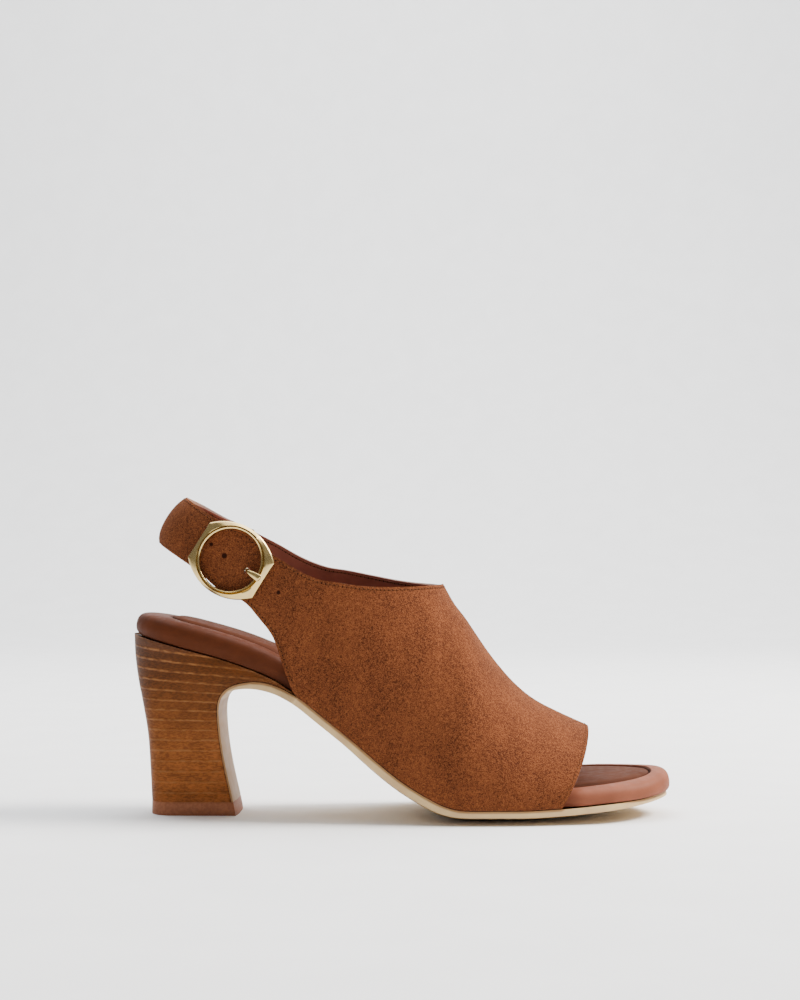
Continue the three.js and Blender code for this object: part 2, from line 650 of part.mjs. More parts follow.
// Point of the upper's outer face: at counts ribs, up runs from the lower edge to the upper one
function upperPoint(at, up, side) {
  const ends = RIB_ENDS[side];
  const low = alongRibs(ends.low, [QUARTER_CORNER], at);
  const top = alongRibs(ends.top, [THROAT], at);
  const shape = alongRibs(ends.shape, [], at);
  const rise = top.clone().sub(low);
  const ahead = alongRibs(ends.low, [QUARTER_CORNER], Math.min(at + 0.05, RIBS.length - 1));
  const back = alongRibs(ends.low, [QUARTER_CORNER], Math.max(at - 0.05, 0));
  const run = at < 0.05 ? new THREE.Vector3(0, side, 0) : ahead.sub(back).setZ(0).normalize();
  const out = new THREE.Vector3(-side * run.y, side * run.x, 0).multiplyScalar(shape.x * HALF_BALL);
  const turn = alongRibs(ends.turn, [], at).x;
  const straightLow = low.clone().addScaledVector(rise, turn).add(out);
  const straightTop = top.clone().addScaledVector(rise, -turn).add(out);
  const standing = low.clone().add(out);
  standing.x += rise.x * (turn + shape.z / 4);
  standing.z += rise.z * STAND_SHARE;
  const level = top.clone();
  level.x -= rise.x * turn * (1 - shape.z);
  level.y -= rise.y * CROWN_SHARE;
  level.z -= rise.z * CROWN_DROP;
  const path = new THREE.CubicBezierCurve3(
    low,
    straightLow.lerp(standing, shape.y),
    straightTop.lerp(level, shape.y),
    top,
  );
  return path.getPoint(up);
}

// Outer sheet of both halves; they share the strap's back and the ridge
function upperSheet() {
  const steps = (RIBS.length - 1) * STEPS_PER_RIB;
  const throatStep = THROAT * STEPS_PER_RIB;
  const positions = [];
  const onSole = [];
  const grid = { "-1": [], 1: [] };
  for (const side of [-1, 1]) {
    for (let i = 0; i <= steps; i += 1) {
      const row = [];
      for (let j = 0; j <= RIB_STEPS; j += 1) {
        const shared = side > 0 && (i === 0 || (j === RIB_STEPS && i >= throatStep));
        if (shared) {
          row.push(grid[-1][i][j]);
          continue;
        }
        const point = upperPoint(i / STEPS_PER_RIB, j / RIB_STEPS, side);
        row.push(positions.length / 3);
        onSole.push(j === 0 && i >= QUARTER_CORNER * STEPS_PER_RIB);
        positions.push(point.x, point.y, point.z);
      }
      grid[side].push(row);
    }
  }
  const faces = [];
  for (const side of [-1, 1]) {
    for (let i = 0; i < steps; i += 1) {
      for (let j = 0; j < RIB_STEPS; j += 1) {
        const a = grid[side][i][j];
        const b = grid[side][i + 1][j];
        const c = grid[side][i + 1][j + 1];
        const d = grid[side][i][j + 1];
        if (side < 0) faces.push(a, b, c, a, c, d);
        else faces.push(a, c, b, a, d, c);
      }
    }
  }
  return { positions, faces, onSole };
}

// Closed wall of even thickness inside an open sheet
function thicken(sheet, wall) {
  const outer = meshFrom(sheet.positions, sheet.faces);
  outer.computeVertexNormals();
  const normals = outer.getAttribute("normal");
  const count = sheet.positions.length / 3;
  const positions = [...sheet.positions];
  for (let i = 0; i < count; i += 1) {
    const normal = new THREE.Vector3().fromBufferAttribute(normals, i);
    if (sheet.onSole[i]) normal.setZ(0).normalize();
    const point = new THREE.Vector3().fromArray(sheet.positions, i * 3).addScaledVector(normal, -wall);
    if (sheet.onSole[i]) point.z = soleTop(point.x) + CLEAR;
    positions.push(point.x, point.y, point.z);
  }
  const faces = [...sheet.faces];
  const edges = new Set();
  for (let f = 0; f < sheet.faces.length; f += 3) {
    const [a, b, c] = sheet.faces.slice(f, f + 3);
    faces.push(a + count, c + count, b + count);
    edges.add(`${a},${b}`).add(`${b},${c}`).add(`${c},${a}`);
  }
  for (const edge of edges) {
    const [a, b] = edge.split(",").map(Number);
    if (edges.has(`${b},${a}`)) continue;
    faces.push(b, a, a + count, b, a + count, b + count);
  }
  return meshFrom(positions, faces);
}

const library = await loadManifold();
library.setup();

function toManifold(geometry) {
  const vertProperties = new Float32Array(geometry.getAttribute("position").array);
  const triVerts = new Uint32Array(geometry.getIndex().array);
  const mesh = new library.Mesh({ numProp: 3, vertProperties, triVerts });
  return new library.Manifold(mesh);
}

function fromManifold(solid) {
  const mesh = solid.getMesh();
  return meshFrom([...mesh.vertProperties], [...mesh.triVerts]);
}

// The buckle's own frame: x along the strap, y across it, z out of the suede
const buckleSpot = upperPoint(BUCKLE_RIB, 0.5, -1);
const strapRun = upperPoint(BUCKLE_RIB + 0.5, 0.5, -1).sub(upperPoint(BUCKLE_RIB - 0.5, 0.5, -1)).normalize();
const strapAcross = upperPoint(BUCKLE_RIB, 1, -1).sub(upperPoint(BUCKLE_RIB, 0, -1));
const strapWidth = strapAcross.length();
const strapOut = strapRun.clone().cross(strapAcross).normalize();
const buckleMatrix = new THREE.Matrix4().makeBasis(strapRun, strapOut.clone().cross(strapRun), strapOut);
buckleMatrix.setPosition(buckleSpot);
const FRAME_SEAT = CLEAR + 0.2;
const holeRadius = BUCKLE_HOLE / 2;

// Outer edge of the frame: straight ends and arched long sides
function frameRadius(angle) {
  const sagitta = (BUCKLE_WIDTH - BUCKLE_END) / 2;
  const arch = ((BUCKLE_LENGTH / 2) ** 2 + sagitta ** 2) / (2 * sagitta);
  const drop = arch - BUCKLE_WIDTH / 2;
  const rise = Math.abs(Math.sin(angle));
  const toArch = -drop * rise + Math.sqrt(arch ** 2 - drop ** 2 * (1 - rise ** 2));
  return Math.min(toArch, BUCKLE_LENGTH / 2 / Math.max(Math.abs(Math.cos(angle)), 1e-6));
}

function frameSection(angle) {
  const edge = frameRadius(angle);
  const bead = holeRadius + BEAD_WIDTH;
  return FRAME_ROWS.map((row) => {
    const radius = mix(mix(bead, edge, row.facet), holeRadius, row.bead);
    const height = FRAME_SEAT + row.rise * BUCKLE_THICKNESS;
    return new THREE.Vector3(radius * Math.cos(angle), radius * Math.sin(angle), height);
  });
}

// Rod of round section along points in a plane whose square direction is side
function rod(points, side, radii) {
  return ringSolid(points.map((point, i) => {
    const [before, after] = [points[Math.max(i - 1, 0)], points[Math.min(i + 1, points.length - 1)]];
    const up = side.clone().cross(after.clone().sub(before).normalize());
    const { flat, thick } = radii(i);
    return Array.from({ length: ROD_SIDES }, (_, k) => {
      const angle = (2 * Math.PI * (k + 0.5)) / ROD_SIDES;
      const across = point.clone().addScaledVector(side, -flat * Math.cos(angle));
      return across.addScaledVector(up, thick * Math.sin(angle));
    });
  }));
}

// Centre bar: dips behind the strap, with its legs beside the strap's edges
const barDepth = -(WALL + CLEAR + BAR_DIAMETER / 2);
function centreBar() {
  const leg = strapWidth / 2 + BAR_DIAMETER / 2 + CLEAR;
  const bend = BAR_DIAMETER;
  const half = [
    [holeRadius + 1.6, FRAME_SEAT + 1.4],
    [leg + 0.35, FRAME_SEAT + 0.9],
    [leg, 0],
    [leg, barDepth + bend],
    [leg - bend * 0.35, barDepth + bend * 0.35],
    [leg - bend, barDepth],
  ];
  const route = [...half, ...half.map(([across, height]) => [-across, height]).reverse()];
  const points = route.map(([across, height]) => new THREE.Vector3(0, across, height));
  const radius = { flat: BAR_DIAMETER / 2, thick: BAR_DIAMETER / 2 };
  return rod(points, new THREE.Vector3(1, 0, 0), () => radius);
}

function buckleFrame() {
  const corner = Math.atan2(BUCKLE_END, BUCKLE_LENGTH);
  const spans = [
    [-corner, corner, BUCKLE_STEPS / 6],
    [corner, Math.PI - corner, BUCKLE_STEPS / 3],
    [Math.PI - corner, Math.PI + corner, BUCKLE_STEPS / 6],
    [Math.PI + corner, 2 * Math.PI - corner, BUCKLE_STEPS / 3],
  ];
  const angles = spans.flatMap(([from, to, steps]) => {
    return Array.from({ length: steps }, (_, i) => mix(from, to, i / steps));
  });
  const ring = toManifold(hoopSolid(angles.map(frameSection)));
  return fromManifold(ring.add(toManifold(centreBar())));
}

// Prong: hooks under the bar, comes up through the strap's hole and lies on the frame
const PRONG = PRONG_DIAMETER / 2;
function pronged() {
  const frameTop = FRAME_SEAT + BUCKLE_THICKNESS + CLEAR + PRONG;
  const under = barDepth - BAR_DIAMETER / 2 - CLEAR - PRONG;
  const behind = -(BAR_DIAMETER / 2 + CLEAR + PRONG);
  const route = [
    [behind, barDepth],
    [behind * 0.72, mix(under, barDepth, 0.28)],
    [0, under],
    [PRONG_HOLE_REACH * 0.4, under + 0.15],
    [PRONG_HOLE_REACH * 0.75, under + 0.9],
    [PRONG_HOLE_REACH * 0.94, -WALL - 0.4],
    [PRONG_HOLE_REACH, -WALL / 2],
    [PRONG_HOLE_REACH + 0.25 * PRONG, 0.6],
    [PRONG_HOLE_REACH + 1.2 * PRONG, frameTop - 1.4],
    [PRONG_HOLE_REACH + 2.7 * PRONG, frameTop - 0.4],
    [PRONG_HOLE_REACH + 4.7 * PRONG, frameTop],
    [holeRadius + 1.2, frameTop],
    [holeRadius + 2, frameTop - 0.1],
    [holeRadius + 2.4, frameTop - 0.25],
  ];
  const points = route.map(([along, height]) => new THREE.Vector3(along, 0, height));
  const tip = points.length - 1;
  return rod(points, new THREE.Vector3(0, 1, 0), (i) => {
    const flare = THREE.MathUtils.smoothstep(i, tip - PRONG_FLARE_RINGS, tip - 2);
    const wide = flare * (PRONG_TIP_WIDTH / 2 - PRONG);
    const end = i === tip ? 0.45 : 1;
    return { flat: (PRONG + wide) * end, thick: PRONG * end };
  });
}

function upperSolid() {
  const hole = new THREE.CylinderGeometry(STRAP_HOLE / 2, STRAP_HOLE / 2, 4 * WALL, HOLE_SIDES);
  hole.rotateX(Math.PI / 2).translate(PRONG_HOLE_REACH, 0, -WALL / 2).applyMatrix4(buckleMatrix);
  const punch = toManifold(mergeVertices(hole.deleteAttribute("normal").deleteAttribute("uv")));
  return fromManifold(toManifold(thicken(upperSheet(), WALL)).subtract(punch));
}

function paint(color, roughness, metalness) {
  return new THREE.MeshStandardMaterial({ color, roughness, metalness });
}

const suede = paint("#92583a", 0.95, 0);
const lining = paint("#5f3a2c", 0.6, 0);
const leather = paint("#7a4a3a", 0.5, 0);
const stack = paint("#824e2a", 0.6, 0);
const cream = paint("#cdb28c", 0.6, 0);
const rubber = paint("#7d5037", 0.8, 0);
const brass = paint("#c8b478", 0.3, 1);

function piece(name, geometry, material) {
  const mesh = new THREE.Mesh(geometry, material);
  mesh.name = name;
  return mesh;
}

const shoe = new THREE.Group();
shoe.add(piece("footbed", footbedSolid(), leather));
shoe.add(piece("sock_pad", sockSolid(), lining));
shoe.add(piece("heel", heelSolid(), stack));
shoe.add(piece("top_piece", topPieceSolid(), rubber));
shoe.add(piece("outsole", outsoleSolid(), cream));
shoe.add(piece("upper", upperSolid(), suede));

const buckle = new THREE.Group();
buckle.applyMatrix4(buckleMatrix);
buckle.add(piece("buckle_frame", buckleFrame(), brass));
buckle.add(piece("buckle_prong", pronged(), brass));
shoe.add(buckle);

// The origin is on the floor under the middle of the shoe
const bounds = new THREE.Box3().setFromObject(shoe);
const middle = bounds.getCenter(new THREE.Vector3());
shoe.position.set(-middle.x, -middle.y, -bounds.min.z);

export default shoe;
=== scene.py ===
"""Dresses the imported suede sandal: suede, leathers, stitching, buckle, stage and camera."""

import math

import bmesh
import bpy
from mathutils import Matrix, Vector
from mathutils.bvhtree import BVHTree

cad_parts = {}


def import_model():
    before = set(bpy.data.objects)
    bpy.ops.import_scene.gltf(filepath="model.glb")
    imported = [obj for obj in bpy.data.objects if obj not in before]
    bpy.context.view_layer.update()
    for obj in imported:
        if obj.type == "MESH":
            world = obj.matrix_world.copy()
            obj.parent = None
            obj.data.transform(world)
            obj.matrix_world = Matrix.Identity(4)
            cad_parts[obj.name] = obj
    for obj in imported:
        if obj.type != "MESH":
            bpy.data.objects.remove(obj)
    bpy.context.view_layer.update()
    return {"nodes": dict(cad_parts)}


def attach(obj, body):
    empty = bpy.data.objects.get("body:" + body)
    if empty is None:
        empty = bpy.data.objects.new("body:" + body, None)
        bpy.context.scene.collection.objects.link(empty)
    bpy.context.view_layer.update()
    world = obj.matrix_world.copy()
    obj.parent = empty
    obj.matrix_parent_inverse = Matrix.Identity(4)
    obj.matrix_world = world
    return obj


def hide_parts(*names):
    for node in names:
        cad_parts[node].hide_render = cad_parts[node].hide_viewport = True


bl_info = {
    "name": "Suede sandal",
    "version": (1, 0, 0),
    "blender": (4, 5, 0),
    "location": "View3D > Sidebar > Sandal",
    "description": "Builds the finished look of a suede slingback sandal on its packed frame",
    "category": "Object",
}

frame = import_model()
MM = 0.001
OUTER, LINING, CUT = range(3)

# Stretches along the shoe and up from the floor, in metres of its own frame
BACK_END = 0.112
BARE_EDGE = (-0.096, -0.084)
HEEL_TO_BREAST = (-0.085, -0.062)
SEAT_TO_TOE = (-0.03, 0.08)
LEANING_LIFTS = (0.028, 0.075)
# Heights over which the lifts go from painted light low down to painted shade under the seat
LIFT_SHADE_HEIGHTS = (0.012, 0.068)
FIRST_LIFT = 0.0055

# Small sizes of the finish
SEAM_WOBBLE = 0.7 * MM
SOLE_LINE = (0.8 * MM, 1.5 * MM)
# Reach of the painted shade in the crease between the sock and the rim
CREASE_SHADE_REACH = 1.7 * MM
STITCH_PATH_STEP = 0.6 * MM
SOLE_MARGIN = 2.5 * MM

# Slope of the leaning lifts, and the painted brightness from the lowest lift to the highest: painted light
# low down, painted shade under the seat
LEAN = 0.14
LIFT_SHADE = (1.5, 0.45)

# Angle in degrees from which an edge parts the upper's skins
SKIN_ANGLE = 52


def linear(code):
    """Scene colour of an sRGB hex value."""
    shares = [int(code[i : i + 2], 16) / 255 for i in (1, 3, 5)]
    channels = [s / 12.92 if s <= 0.04045 else ((s + 0.055) / 1.055) ** 2.4 for s in shares]
    return (*channels, 1.0)


def colour(name, description, code):
    """Colour setting with an sRGB hex default."""
    return bpy.props.FloatVectorProperty(
        name=name, description=description, subtype="COLOR", size=4, min=0, max=1, default=linear(code)
    )


def length(name, description, millimetres):
    """Length setting with a default in millimetres."""
    return bpy.props.FloatProperty(
        name=name, description=description, default=millimetres * MM, unit="LENGTH", subtype="DISTANCE"
    )


class SandalColours(bpy.types.PropertyGroup):
    """Colours of the sandal's leathers, thread and metal."""

    suede: colour("Suede", "Nap brushed towards the light", "#80492a")
    suede_shade: colour("Suede shade", "Nap brushed away from the light", "#36180b")
    cut_edge: colour("Cut edge", "Inked edge of the suede and its lining", "#5f3520")
    bare_edge: colour("Bare edge", "Strap's edge at the heel, where the ink is worn", "#94643f")
    lining: colour("Lining", "Smooth leather inside the upper", "#874937")
    # The rim's leather is one colour: its seat colour is darker as painted shade and its toe colour lighter
    # as painted light
    rim_seat_shaded: colour("Rim at the seat", "Leather round the footbed, at the heel", "#4e2613")
    rim_toe_lit: colour("Rim at the toe", "Leather round the footbed, at the toe", "#7d4935")
    sock_seat: colour("Sock at the seat", "Leather of the padded sock, at the heel", "#4a291b")
    sock_toe: colour("Sock at the toe", "Leather of the padded sock, at the toe", "#4a2a1d")
    outsole: colour("Outsole", "Cream leather sole and breast cover", "#caac7c")
    outsole_line: colour("Outsole line", "Burnished upper edge of the outsole", "#8f6a45")
    stack: colour("Stack", "Leather lifts of the heel", "#7a4621")
    stack_line: colour("Stack line", "Paler seams between the lifts", "#865833")
    top_piece: colour("Top piece", "Rubber under the heel", "#9a6245")
    thread: colour("Thread", "Sewing thread", "#5f371e")
    # The inside of a hole is drawn in this colour as painted shade
    hole_shade: colour("Pinhole", "Needle holes and punched holes", "#2a140b")
    brass: colour("Brass", "Pale gold buckle", "#cbb076")


class SandalSizes(bpy.types.PropertyGroup):
    """Sizes of the finer work on the sandal."""

    stitch_pitch: length("Stitch pitch", "From one stitch to the next", 1.75)
    stitch_margin: length("Stitch margin", "From the row to the cut edge", 1.3)
    thread_width: length("Thread width", "Width of one stitch", 0.5)
    lift_height: length("Lift height", "Height of one leather lift in the heel", 4.35)
    line_height: length("Line height", "Height of the seam between two lifts", 0.65)
    hole_radius: length("Strap hole radius", "Punched hole in the strap", 0.8)


def settings():
    """The scene's colours and sizes."""
    return bpy.context.scene.sandal_colours, bpy.context.scene.sandal_sizes


# Nodes


def node(tree, kind, links=None, **values):
    """Adds one node; links gives its inputs, each a socket or a plain value."""
    made = tree.nodes.new(kind)
    for name, value in values.items():
        setattr(made, name, value)
    for name, value in (links or {}).items():
        if isinstance(value, bpy.types.NodeSocket):
            tree.links.new(value, made.inputs[name])
        else:
            made.inputs[name].default_value = value
    return made


def blank_material(name):
    """New material with an empty node tree."""
    made = bpy.data.materials.new(name)
    made.use_nodes = True
    made.node_tree.nodes.clear()
    return made, made.node_tree


def close_material(tree, shader):
    """Joins the shader to the material's output."""
    node(tree, "ShaderNodeOutputMaterial", {"Surface": shader.outputs["BSDF"]})


def place(tree):
    """Object coordinates, which are metres in the shoe's own frame."""
    return node(tree, "ShaderNodeTexCoord").outputs["Object"]


def grain(tree, where, size, detail=2.0, roughness=0.5):
    """Noise whose features are about size millimetres wide."""
    links = {"Vector": where, "Scale": 1 / (size * MM), "Detail": detail, "Roughness": roughness}
    return node(tree, "ShaderNodeTexNoise", links).outputs["Fac"]


def ramp(tree, value, low, high, to_low=0.0, to_high=1.0):
    """Smooth step of a value from low to high."""
    links = {"Value": value, "From Min": low, "From Max": high, "To Min": to_low, "To Max": to_high}
    return node(tree, "ShaderNodeMapRange", links, interpolation_type="SMOOTHSTEP").outputs["Result"]


def blend(tree, share, low, high, kind="MIX"):
    """Colour between low and high."""
    made = node(tree, "ShaderNodeMix", data_type="RGBA", blend_type=kind)
    for index, value in ((0, share), (6, low), (7, high)):
        if isinstance(value, bpy.types.NodeSocket):
            tree.links.new(value, made.inputs[index])
        else:
            made.inputs[index].default_value = value
    return made.outputs[2]


def grey(tree, value):
    """The same value in each colour channel."""
    return node(tree, "ShaderNodeCombineColor", {0: value, 1: value, 2: value}).outputs[0]


def along_shoe(tree, where):
    """Distance towards the toe."""
    return node(tree, "ShaderNodeSeparateXYZ", {0: where}).outputs["X"]


def darker(shade, share):
    """The colour with each channel brought down to a share of itself."""
    return [share * channel for channel in shade[:3]] + [1.0]


def reckon(tree, operation, first, second=0.0):
    """One arithmetic node."""
    return node(tree, "ShaderNodeMath", {0: first, 1: second}, operation=operation).outputs[0]


def relief(tree, height, depth, below=None):
    """Bump of a height that runs from 0 to 1, depth millimetres deep."""
    links = {"Height": height, "Distance": depth * MM, "Strength": 1.0}
    if below:
        links["Normal"] = below
    return node(tree, "ShaderNodeBump", links).outputs["Normal"]


def suede_material():
    """Split calf suede: a matt nap with no gloss, speckled where fibres lie to or from the light."""
    colours, _ = settings()
    made, tree = blank_material("calf suede, brushed")
    where = place(tree)
    # Real fibres are near 0.1 mm; they are drawn at 0.35 mm to show in the picture
    fibre = grain(tree, where, 0.35, 1.0, 0.5)
    tuft = grain(tree, where, 1.1, 2.0, 0.6)
    brushed = node(tree, "ShaderNodeMapping", {"Vector": where, "Scale": (1, 1, 0.6)}).outputs[0]
    cloud = grain(tree, brushed, 14, 2.0, 0.5)
    speckle = reckon(tree, "MULTIPLY", ramp(tree, fibre, 0.4, 0.66), 0.7)
    mottle = reckon(tree, "MULTIPLY", ramp(tree, tuft, 0.34, 0.66), 0.26)
    patches = reckon(tree, "MULTIPLY", ramp(tree, cloud, 0.3, 0.7), 0.16)
    share = reckon(tree, "ADD", speckle, reckon(tree, "ADD", mottle, patches))
    shade = blend(tree, share, tuple(colours.suede_shade), tuple(colours.suede))
    links = {
        "Base Color": shade,
        "Roughness": 0.95,
        "Specular IOR Level": 0.1,
        "Sheen Weight": 0.03,
        "Sheen Roughness": 0.5,
        "Sheen Tint": linear("#d9a06c"),
        "Normal": relief(tree, fibre, 0.14, relief(tree, tuft, 0.1)),
    }
    close_material(tree, node(tree, "ShaderNodeBsdfPrincipled", links))
    return made


def leather_material(name, seat, toe, gloss, shine=0.25, pores=0.7):
    """Smooth finished calf leather: fine pores, a soft satin gloss, slightly uneven dye, and painted shade
    in the crease where two pieces meet.
    """
    made, tree = blank_material(name)
    where = place(tree)
    # From seat to toe the colour runs between the two given colours; on the rim this is painted shade at
    # the seat and painted light at the toe
    base = blend(tree, ramp(tree, along_shoe(tree, where), *SEAT_TO_TOE), tuple(seat), tuple(toe))
    uneven = ramp(tree, grain(tree, where, 9, 3.0), 0.3, 0.7, 0.9, 1.08)
    base = blend(tree, 1.0, base, grey(tree, uneven), "MULTIPLY")
    # Painted shade: the leather is darkened where the sock meets the rim, as the shade in the crease
    # between them
    crease = node(tree, "ShaderNodeAttribute", attribute_name="crease").outputs["Fac"]
    base = blend(tree, ramp(tree, crease, 0.1, 0.7), base, darker(seat, 0.22))
    cells = node(tree, "ShaderNodeTexVoronoi", {"Vector": where, "Scale": 1 / (pores * MM)})
    pore = cells.outputs["Distance"]
    wave = grain(tree, where, 5, 2.0)
    links = {
        "Base Color": base,
        "Roughness": ramp(tree, grain(tree, where, 3, 2.0), 0.3, 0.7, gloss - 0.05, gloss + 0.07),
        "Specular IOR Level": shine,
        "Normal": relief(tree, pore, 0.02, relief(tree, wave, 0.04)),
    }
    close_material(tree, node(tree, "ShaderNodeBsdfPrincipled", links))
    return made


def edge_material():
    """Inked cut edge of suede and lining: dense, matt, with faint fibre ends."""
    colours, _ = settings()
    made, tree = blank_material("inked leather edge")
    where = place(tree)
    fibre = grain(tree, where, 0.6, 3.0)
    dark = darker(colours.cut_edge, 0.6)
    inked = blend(tree, ramp(tree, fibre, 0.3, 0.7), dark, tuple(colours.cut_edge))
    share = ramp(tree, along_shoe(tree, where), *BARE_EDGE)
    links = {
        "Base Color": blend(tree, share, tuple(colours.bare_edge), inked),
        "Roughness": 0.75,
        "Normal": relief(tree, fibre, 0.08),
    }
    close_material(tree, node(tree, "ShaderNodeBsdfPrincipled", links))
    return made


def outsole_material():
    """Cream sole leather with a burnished line along its upper edge."""
    colours, _ = settings()
    made, tree = blank_material("sole leather, cream")
    where = place(tree)
    depth = node(tree, "ShaderNodeAttribute", attribute_name="below_seam").outputs["Fac"]
    line = ramp(tree, depth, *SOLE_LINE, 1.0, 0.0)
    worn = ramp(tree, grain(tree, where, 7, 4.0), 0.3, 0.75)
    pale = blend(tree, worn, linear("#bf9f74"), tuple(colours.outsole))
    links = {
        "Base Color": blend(tree, line, pale, tuple(colours.outsole_line)),
        "Roughness": ramp(tree, worn, 0, 1, 0.5, 0.62),
        "Specular IOR Level": 0.2,
        "Normal": relief(tree, grain(tree, where, 0.9, 3.0), 0.05),
    }
    close_material(tree, node(tree, "ShaderNodeBsdfPrincipled", links))
    return made


def stack_material():
    """Stacked leather lifts, edge-dyed and waxed: fibres run level, with a paler seam at each lift, painted
    shade under the seat and painted light low down.
    """
    colours, sizes = settings()
    made, tree = blank_material("stacked leather, waxed, shaded under seat")
    where = place(tree)
    parts = node(tree, "ShaderNodeSeparateXYZ", {0: where})
    across, up = parts.outputs["X"], parts.outputs["Z"]
    # The upper lifts lean down towards the breast, the lower ones lie level
    lean = ramp(tree, up, *LEANING_LIFTS, 0.0, LEAN)
    ahead = reckon(tree, "ADD", across, BACK_END)
    wobble = reckon(tree, "MULTIPLY", grain(tree, where, 2.5, 3.0), SEAM_WOBBLE)
    level = reckon(tree, "ADD", reckon(tree, "ADD", up, reckon(tree, "MULTIPLY", lean, ahead)), wobble)
    count = reckon(tree, "DIVIDE", reckon(tree, "SUBTRACT", level, FIRST_LIFT), sizes.lift_height)
    saw = reckon(tree, "PINGPONG", count, 0.5)
    reach = 0.5 * sizes.line_height / sizes.lift_height
    seam = ramp(tree, saw, reach * 0.3, reach * 2.3, 1.0, 0.0)
    faded = ramp(tree, grain(tree, where, 4), 0.35, 0.65, 0.25, 1.0)
    worn = reckon(tree, "MULTIPLY", ramp(tree, across, *HEEL_TO_BREAST, 0.75, 0.5), faded)
    layers = {"Vector": where, "Scale": (0.45, 0.45, 1.6)}
    stretched = node(tree, "ShaderNodeMapping", layers).outputs[0]
    fibre = grain(tree, stretched, 0.7, 2.0, 0.7)
    patch = grain(tree, stretched, 6, 2.0)
    dark = darker(colours.stack, 0.45)
    fine = reckon(tree, "MULTIPLY", ramp(tree, fibre, 0.38, 0.62), 0.65)
    share = reckon(tree, "ADD", fine, reckon(tree, "MULTIPLY", ramp(tree, patch, 0.3, 0.7), 0.35))
    lifts = blend(tree, share, dark, tuple(colours.stack))
    # Painted shade under the seat darkens the upper lifts, and painted light brightens the lower ones
    waxed = ramp(tree, up, *LIFT_SHADE_HEIGHTS, *LIFT_SHADE)
    lifts = blend(tree, 1.0, lifts, grey(tree, waxed), "MULTIPLY")
    shown = reckon(tree, "MULTIPLY", seam, worn)
    links = {
        "Base Color": blend(tree, shown, lifts, tuple(colours.stack_line)),
        "Roughness": 0.55,
        "Specular IOR Level": 0.07,
        "Normal": relief(tree, seam, 0.12, relief(tree, fibre, 0.08)),
    }
    close_material(tree, node(tree, "ShaderNodeBsdfPrincipled", links))
    return made


def rubber_material():
    """Moulded rubber top piece: even, satin, with a slight cast texture."""
    colours, _ = settings()
    made, tree = blank_material("moulded rubber, brown")
    where = place(tree)
    cast = grain(tree, where, 1.2, 2.0)
    dark = darker(colours.top_piece, 0.8)
    links = {
        "Base Color": blend(tree, ramp(tree, cast, 0.3, 0.7), dark, tuple(colours.top_piece)),
        "Roughness": 0.6,
        "Specular IOR Level": 0.15,
        "Normal": relief(tree, cast, 0.03),
    }
    close_material(tree, node(tree, "ShaderNodeBsdfPrincipled", links))
    return made


def brass_material():
    """Plated zinc in pale gold, satin polished: soft reflections with faint polishing haze."""
    colours, _ = settings()
    made, tree = blank_material("pale gold plating, satin")
    where = place(tree)
    haze = grain(tree, where, 4, 2.0)
    dark = darker(colours.brass, 0.9)
    links = {
        "Base Color": blend(tree, ramp(tree, haze, 0.3, 0.7), dark, tuple(colours.brass)),
        "Metallic": 1.0,
        "Roughness": ramp(tree, haze, 0.3, 0.7, 0.2, 0.25),
    }
    close_material(tree, node(tree, "ShaderNodeBsdfPrincipled", links))
    return made


def plain_material(name, base, roughness):
    """Thread, or the painted shade inside a hole: one colour, slightly uneven."""
    made, tree = blank_material(name)
    twist = grain(tree, place(tree), 0.5, 2.0)
    dark = darker(base, 0.75)
    links = {
        "Base Color": blend(tree, ramp(tree, twist, 0.3, 0.7), dark, tuple(base)),
        "Roughness": roughness,
        "Specular IOR Level": 0.05,
    }
    close_material(tree, node(tree, "ShaderNodeBsdfPrincipled", links))
    return made


# Shapes


def merged(node_name):
    """The node's solid as one joined shape, its triangle pairs turned to four-sided faces."""
    source = frame["nodes"][node_name].data
    shape = bmesh.new()
    corners = [shape.verts.new(v.co) for v in source.vertices]
    for polygon in source.polygons:
        shape.faces.new([corners[i] for i in polygon.vertices])
    bmesh.ops.remove_doubles(shape, verts=shape.verts, dist=0.01 * MM)
    bmesh.ops.join_triangles(
        shape,
        faces=shape.faces,
        angle_face_threshold=math.radians(50),
        angle_shape_threshold=math.radians(150),
    )
    return shape


def hold_edges(shape, angle, strength):
    """Keeps edges sharper than the angle through the subdivision."""
    held = shape.edges.layers.float.new("crease_edge")
    for edge in shape.edges:
        if edge.calc_face_angle(0) > math.radians(angle):
            edge[held] = strength


def crisp(node_name):
    """The node's joined shape with its cut edges held."""
    shape = merged(node_name)
    hold_edges(shape, 50, 0.9)
    return shape


def finished(name, shape, materials, levels=2, shading=48):
    """Subdivides a shape into a finished piece at the origin, and keeps it on the shape's points."""
    mesh = bpy.data.meshes.new(name)
    shape.to_mesh(mesh)
    shape.free()
    piece = linked(name, mesh)
    for material in materials:
        mesh.materials.append(material)
    smooth = piece.modifiers.new("Smooth", "SUBSURF")
    smooth.levels = smooth.render_levels = 1
    meant = [v.co.copy() for v in mesh.vertices]
    for _ in range(3):
        rounded = plain_mesh(piece)
        # The first points of a subdivided mesh are those of the coarse one
        for vertex, spot, other in zip(mesh.vertices, meant, rounded.vertices):
            vertex.co += spot - other.co
        bpy.data.meshes.remove(rounded)
        mesh.update()
    smooth.levels = smooth.render_levels = levels
    piece.data = plain_mesh(piece)
    piece.modifiers.clear()
    bpy.data.meshes.remove(mesh)
    piece.data.name = name
    piece.data.shade_smooth()
    piece.data.set_sharp_from_angle(angle=math.radians(shading))
    return piece


def plain_mesh(piece):
    """The piece's mesh with its modifiers applied."""
    graph = bpy.context.evaluated_depsgraph_get()
    result = piece.evaluated_get(graph)
    return bpy.data.meshes.new_from_object(result, preserve_all_data_layers=True, depsgraph=graph)


